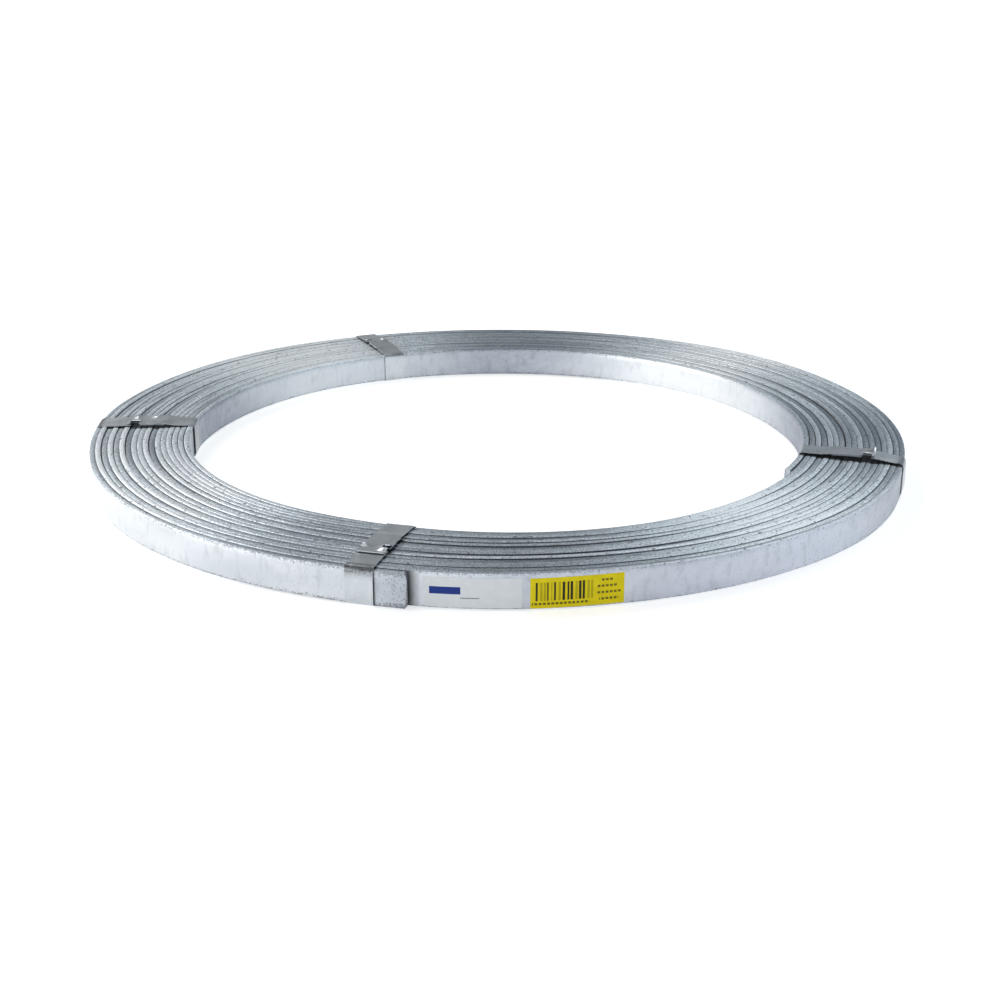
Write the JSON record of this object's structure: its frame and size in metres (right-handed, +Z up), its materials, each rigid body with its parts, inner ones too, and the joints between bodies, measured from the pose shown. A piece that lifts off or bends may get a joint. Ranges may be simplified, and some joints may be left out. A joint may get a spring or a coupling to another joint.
{
  "type": "coil of steel strip",
  "caption": "Flat-lying coil of galvanized steel strip wound round an open bore, bound across its section by steel straps and labelled on its outer face.",
  "frame": {"origin": "on the coil's axis, in the plane of the straps' undersides", "axes": "+Z up along the coil's axis, -Y towards the viewer of the picture, +X to the right"},
  "size_m": [0.6634, 0.6603, 0.0265],
  "materials": {
    "zinc": "hot-dip galvanized, dull, with zinc runs",
    "strapping": "smooth, dull",
    "white_paper": "satin",
    "yellow_paper": "satin"
  },
  "bodies": {
    "root": {"strip_coil": "zinc", "strap_front": "strapping", "strap_left": "strapping", "strap_back": "strapping", "strap_right": "strapping", "white_label": "white_paper", "yellow_label": "yellow_paper"}
  },
  "joints": []
}
